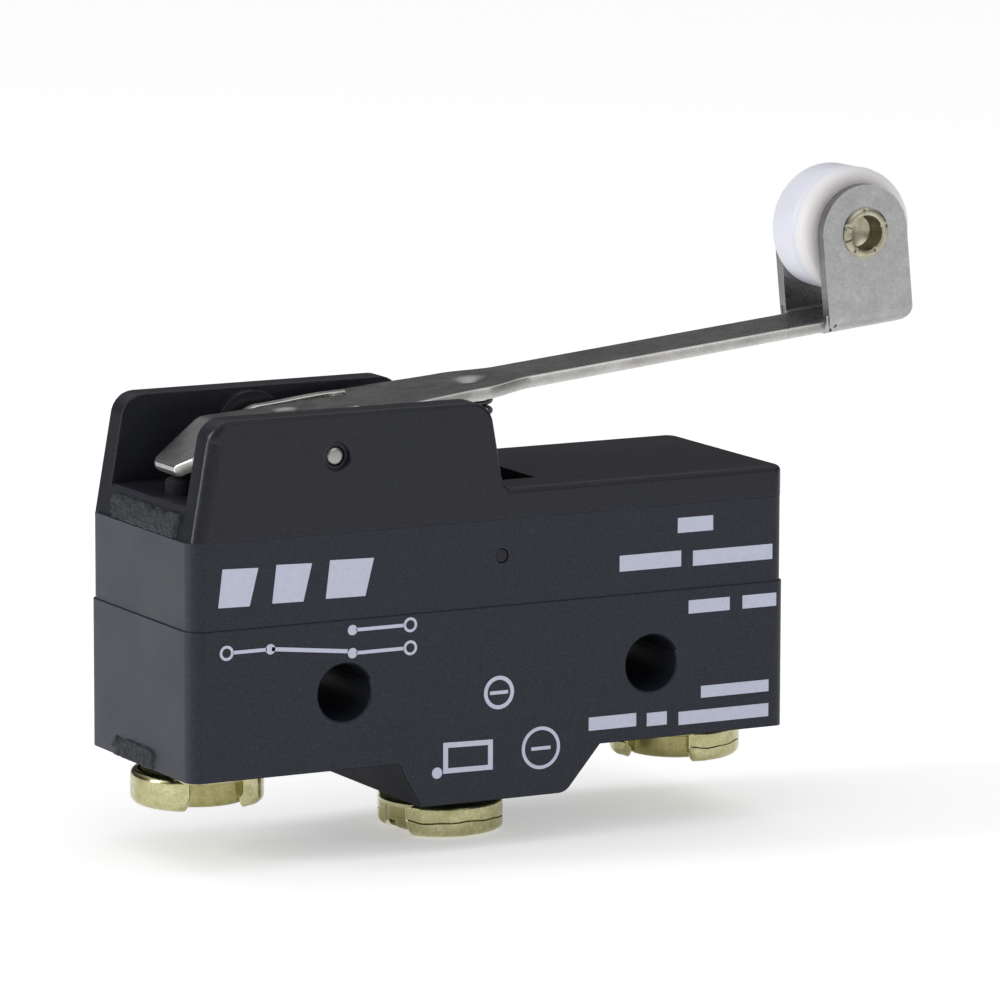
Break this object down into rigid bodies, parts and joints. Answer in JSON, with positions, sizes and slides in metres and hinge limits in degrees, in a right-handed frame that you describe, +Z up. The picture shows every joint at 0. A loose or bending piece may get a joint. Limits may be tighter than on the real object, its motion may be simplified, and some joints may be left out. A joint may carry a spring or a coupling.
{
  "type": "limit switch",
  "caption": "Basic snap-action limit switch with a long sprung hinge lever and end roller, moulded housing and screw terminals.",
  "frame": {"origin": "midway between the two mounting holes, at half the housing's thickness", "axes": "+X along the housing towards the roller, +Y across the thickness along the mounting holes, +Z up from the terminals to the lever"},
  "size_m": [0.0637, 0.0174, 0.0477],
  "materials": {
    "housing_plastic": "moulded phenolic, fine matte grain, slightly glossy edges",
    "pin_plastic": "moulded, matte",
    "pin_steel": "ground steel",
    "lever_steel": "cold-rolled stainless sheet with sheared edges",
    "rivet_steel": "rolled-over tubular rivet, slightly yellow passivation",
    "roller_plastic": "white nylon, satin",
    "spring_steel": "drawn spring wire",
    "plunger_plastic": "moulded, matte",
    "blade_copper": "beryllium copper strip",
    "contact_silver": "silver alloy",
    "terminal_brass": "pressed brass with rolled edges",
    "screw_brass": "turned brass"
  },
  "bodies": {
    "housing": {"base": "housing_plastic", "middle_case": "housing_plastic", "cover": "housing_plastic", "case_pin": "pin_plastic", "hinge_pin": "pin_steel", "return_spring": "spring_steel", "contact_upper": "contact_silver", "contact_lower": "contact_silver", "terminal_common": "terminal_brass", "terminal_middle": "terminal_brass", "terminal_end": "terminal_brass", "blade_clamp": "pin_steel", "clamp_rivet": "terminal_brass", "cup_washer_common": "terminal_brass", "cup_washer_middle": "terminal_brass", "cup_washer_end": "terminal_brass", "screw_common": "screw_brass", "screw_middle": "screw_brass", "screw_end": "screw_brass"},
    "lever_arm": {"lever": "lever_steel", "roller_axle": "rivet_steel"},
    "roller_wheel": {"roller": "roller_plastic"},
    "push_plunger": {"plunger": "plunger_plastic"},
    "blade": {"snap_blade": "blade_copper", "moving_contact": "contact_silver"}
  },
  "joints": [
    {"name": "lever_hinge", "type": "hinge", "parent": "housing", "child": "lever_arm", "pos_m": [-0.0132, 0, 0.01735], "axis": [0, 1, 0], "range_deg": [0, 9], "stiffness_Nm_per_rad": 0.12, "springref_deg": -20.05, "deforming": ["return_spring"]},
    {"name": "roller_spin", "type": "hinge", "parent": "lever_arm", "child": "roller_wheel", "pos_m": [0.0337, 0, 0.03039], "axis": [0, 1, 0], "continuous": true},
    {"name": "plunger_slide", "type": "slide", "parent": "housing", "child": "push_plunger", "axis": [0, 0, 1], "range_m": [0, 0.00134]},
    {"name": "blade_swing", "type": "hinge", "parent": "housing", "child": "blade", "pos_m": [-0.0192, 0, 0.00683], "axis": [0, 1, 0], "range_deg": [-1.1, 0]}
  ],
  "couplings": [
    {"joint": "plunger_slide", "follows": "lever_hinge", "m_per_rad": 0.0085},
    {"joint": "blade_swing", "follows": "lever_hinge", "ratio": -0.12222}
  ]
}
